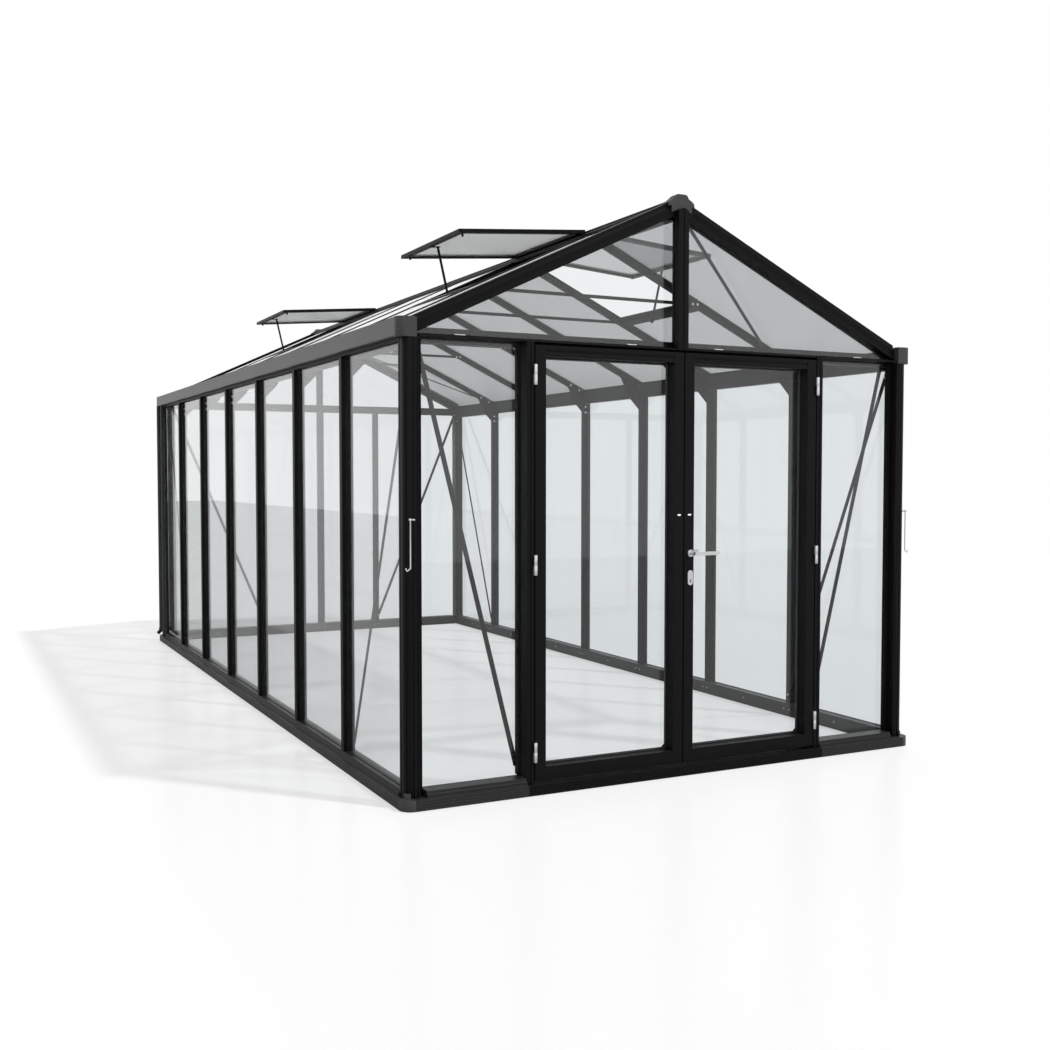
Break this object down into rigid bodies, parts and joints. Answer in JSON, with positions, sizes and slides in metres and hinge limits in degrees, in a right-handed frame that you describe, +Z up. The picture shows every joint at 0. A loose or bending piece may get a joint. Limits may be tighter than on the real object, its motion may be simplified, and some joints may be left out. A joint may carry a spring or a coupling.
{
  "type": "greenhouse",
  "caption": "Free-standing glass greenhouse with a black frame, pitched roof, double doors, open roof vents and gutters.",
  "frame": {"origin": "centre of the footprint at ground level", "axes": "+Z up, -Y out through the double doors, +X to the right seen from the doors, Y along the ridge"},
  "size_m": [2.5778, 5.341, 2.4521],
  "materials": {
    "black_frame": "satin black powder coat",
    "grey_frame": "satin dark grey powder coat",
    "grey_plastic": "moulded dark grey plastic",
    "black_plastic": "black plastic pipe",
    "silver_fittings": "satin nickel fittings",
    "clear_glass": "clear safety glass",
    "roof_glass": "clear safety glass"
  },
  "bodies": {
    "root": {"back_posts": "black_frame", "base_corner_caps": "grey_plastic", "base_rail_back": "grey_frame", "base_rail_front": "grey_frame", "base_rail_left": "grey_frame", "base_rail_right": "grey_frame", "collar_ties": "black_frame", "corner_posts": "black_frame", "door_jambs": "black_frame", "door_threshold": "black_frame", "downpipes": "black_plastic", "eave_beam_left": "black_frame", "eave_beam_right": "black_frame", "gable_braces": "black_frame", "gable_panes": "clear_glass", "gable_post_back": "black_frame", "gable_post_front": "black_frame", "glass_back": "clear_glass", "glass_front": "clear_glass", "glass_left": "clear_glass", "glass_right": "clear_glass", "gussets": "black_frame", "gutter_end_caps": "grey_plastic", "gutter_left": "grey_frame", "gutter_right": "grey_frame", "hook_eyes": "silver_fittings", "jamb_hinges": "silver_fittings", "rake_back_left": "black_frame", "rake_back_right": "black_frame", "rake_front_left": "black_frame", "rake_front_right": "black_frame", "ridge_beam": "black_frame", "ridge_end_caps": "grey_plastic", "roof_bars_left": "black_frame", "roof_bars_right": "black_frame", "roof_braces": "black_frame", "roof_glass_left": "roof_glass", "roof_glass_right": "roof_glass", "tie_beam_back": "black_frame", "tie_beam_front": "black_frame", "vent_frames": "black_frame", "vent_glass": "roof_glass", "vent_sills": "black_frame", "vent_stays": "black_frame", "wall_braces": "black_frame", "wall_posts_left": "black_frame", "wall_posts_right": "black_frame"},
    "door_left": {"door_frame_left": "black_frame", "door_glass_left": "clear_glass", "door_hinges_left": "silver_fittings"},
    "door_right": {"door_frame_right": "black_frame", "door_glass_right": "clear_glass", "door_hinges_right": "silver_fittings", "lock_plate": "silver_fittings"},
    "lever": {"lever_handle": "silver_fittings"},
    "hook_left": {"hook_left": "silver_fittings"},
    "hook_right": {"hook_right": "silver_fittings"}
  },
  "joints": [
    {"name": "door_left_hinge", "type": "hinge", "parent": "root", "child": "door_left", "pos_m": [-0.7075, -2.642, 0.918], "axis": [0, 0, -1], "range_deg": [0, 170]},
    {"name": "door_right_hinge", "type": "hinge", "parent": "root", "child": "door_right", "pos_m": [0.7075, -2.642, 0.918], "axis": [0, 0, 1], "range_deg": [0, 170]},
    {"name": "lever_turn", "type": "hinge", "parent": "door_right", "child": "lever", "pos_m": [0.031, -2.64, 0.944], "axis": [0, 1, 0], "range_deg": [0, 45], "stiffness_Nm_per_rad": 1.2, "springref_deg": -20.05},
    {"name": "hook_left_swing", "type": "hinge", "parent": "root", "child": "hook_left", "pos_m": [-1.236, -2.642, 1.107], "axis": [0, 1, 0], "range_deg": [0, 90]},
    {"name": "hook_right_swing", "type": "hinge", "parent": "root", "child": "hook_right", "pos_m": [1.236, -2.642, 1.107], "axis": [0, -1, 0], "range_deg": [0, 90]}
  ]
}
